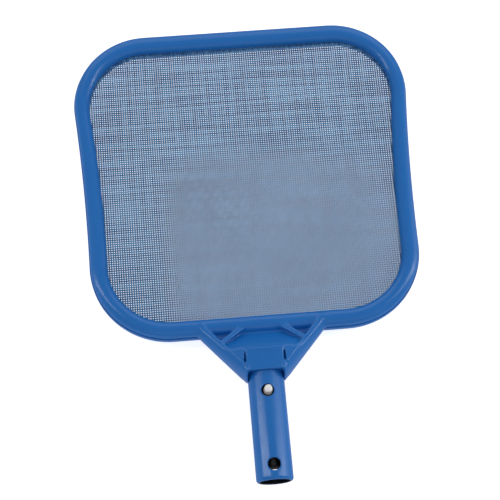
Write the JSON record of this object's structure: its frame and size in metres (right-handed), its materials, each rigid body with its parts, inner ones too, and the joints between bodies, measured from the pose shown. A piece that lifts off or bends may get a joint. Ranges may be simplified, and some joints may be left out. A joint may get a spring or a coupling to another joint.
{
  "type": "leaf skimmer net",
  "caption": "Flat rounded leaf skimmer with a fine net in a round-topped frame, a braced yoke and a short tube handle with a two-button spring clip.",
  "frame": {"origin": "centre of the skimmer's bounding box, which is on the handle's axis and in the plane of the net", "axes": "+Y to the leading edge (the handle opens towards -Y), +Z out of the front of the net, +X to the right"},
  "size_m": [0.2766, 0.3816, 0.0366],
  "materials": {
    "blue_plastic": "satin moulded plastic",
    "net_mesh": "woven monofilament",
    "spring_steel": "rolled strip",
    "white_nylon": "moulded nylon"
  },
  "bodies": {
    "skimmer": {"front_frame": "blue_plastic", "rear_ring": "blue_plastic", "mesh_net": "net_mesh", "handle_tube": "blue_plastic", "clip_spring": "spring_steel"},
    "front_leg": {"front_button": "white_nylon"},
    "rear_leg": {"rear_button": "white_nylon"}
  },
  "joints": [
    {"name": "front_button_press", "type": "hinge", "parent": "skimmer", "child": "front_leg", "pos_m": [0, -0.17735, 0], "axis": [-1, 0, 0], "range_deg": [0, 4.3], "stiffness_Nm_per_rad": 5, "springref_deg": -2.86, "deforming": ["clip_spring"]},
    {"name": "rear_button_press", "type": "hinge", "parent": "skimmer", "child": "rear_leg", "pos_m": [0, -0.17735, 0], "axis": [1, 0, 0], "range_deg": [0, 4.3], "stiffness_Nm_per_rad": 5, "springref_deg": -2.86, "deforming": ["clip_spring"]}
  ]
}
